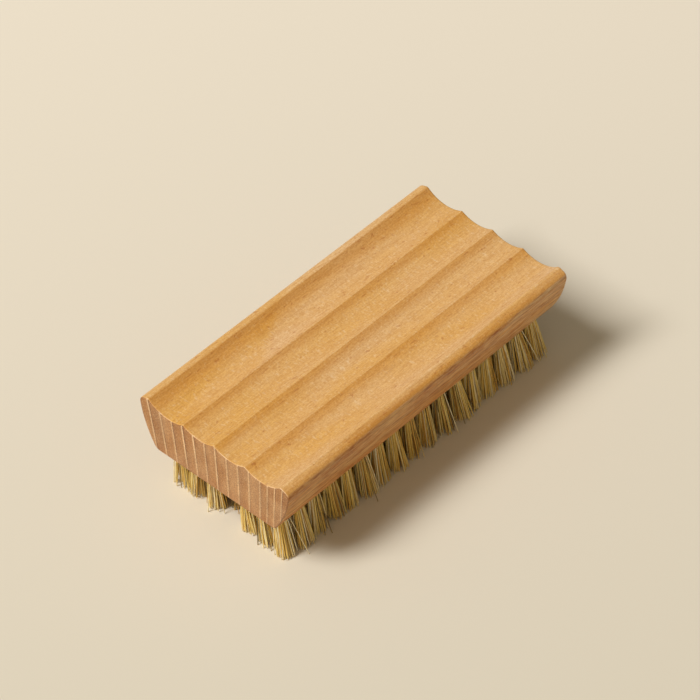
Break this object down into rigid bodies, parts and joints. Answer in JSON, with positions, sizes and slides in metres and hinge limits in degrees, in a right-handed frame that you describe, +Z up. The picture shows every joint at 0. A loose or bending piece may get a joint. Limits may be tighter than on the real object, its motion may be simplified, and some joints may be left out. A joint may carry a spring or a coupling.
{
  "type": "nail brush",
  "caption": "Wooden nail brush with finger flutes along its top and a grid of flat-trimmed plant-fibre tufts, each pinned by a wire anchor in a drilled hole.",
  "frame": {"origin": "middle of the flat that the trimmed bristle tips stand on, under the block", "axes": "+X along the block, +Y across it, +Z up from the bristle tips to the fluted top"},
  "size_m": [0.095, 0.046, 0.0279],
  "materials": {
    "beech": "oiled, satin",
    "plant_fibre": "dry, matte",
    "anchor_wire": "bright"
  },
  "bodies": {
    "root": {"brush_block": "beech", "tuft_row_01": "plant_fibre", "tuft_row_02": "plant_fibre", "tuft_row_03": "plant_fibre", "tuft_row_04": "plant_fibre", "tuft_row_05": "plant_fibre", "tuft_row_06": "plant_fibre", "tuft_row_07": "plant_fibre", "tuft_row_08": "plant_fibre", "tuft_row_09": "plant_fibre", "tuft_row_10": "plant_fibre", "tuft_row_11": "plant_fibre", "tuft_row_12": "plant_fibre", "tuft_row_13": "plant_fibre", "tuft_row_14": "plant_fibre", "tuft_row_15": "plant_fibre", "tuft_row_16": "plant_fibre", "tuft_row_17": "plant_fibre", "anchor_row_01": "anchor_wire", "anchor_row_02": "anchor_wire", "anchor_row_03": "anchor_wire", "anchor_row_04": "anchor_wire", "anchor_row_05": "anchor_wire", "anchor_row_06": "anchor_wire", "anchor_row_07": "anchor_wire", "anchor_row_08": "anchor_wire", "anchor_row_09": "anchor_wire", "anchor_row_10": "anchor_wire", "anchor_row_11": "anchor_wire", "anchor_row_12": "anchor_wire", "anchor_row_13": "anchor_wire", "anchor_row_14": "anchor_wire", "anchor_row_15": "anchor_wire", "anchor_row_16": "anchor_wire", "anchor_row_17": "anchor_wire"}
  },
  "joints": []
}
